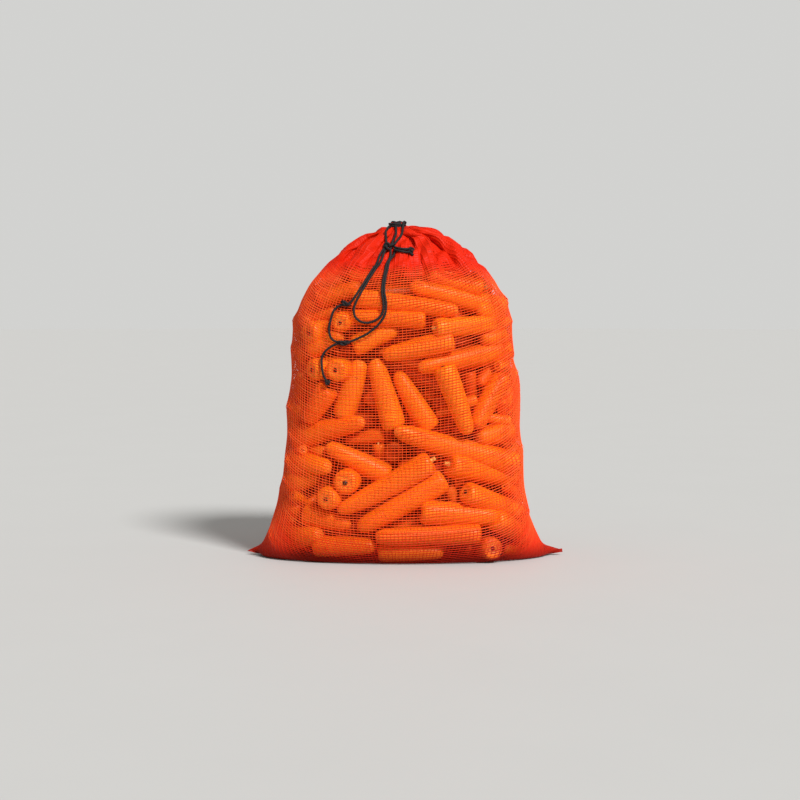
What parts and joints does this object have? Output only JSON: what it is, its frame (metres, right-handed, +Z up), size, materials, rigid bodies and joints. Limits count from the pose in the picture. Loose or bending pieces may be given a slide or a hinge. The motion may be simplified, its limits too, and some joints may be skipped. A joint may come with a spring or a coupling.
{
  "type": "sack of carrots",
  "caption": "Upright net sack stuffed with carrots that stand out under the net, mouth gathered by a drawstring whose loops hang on the front, flat base with corner ears.",
  "frame": {"origin": "middle of the sack's box at the floor, without the drawstring", "axes": "+Z up, +X to the right and +Y to the back when seen from the front, where the drawstring hangs"},
  "size_m": [0.394, 0.1967, 0.419],
  "materials": {
    "net": "knitted plastic net, red orange",
    "carrot": "washed carrot skin, orange, slightly glossy",
    "cord": "twisted black cord"
  },
  "bodies": {
    "root": {"net_sack": "net", "drawstring": "cord"}
  },
  "joints": []
}
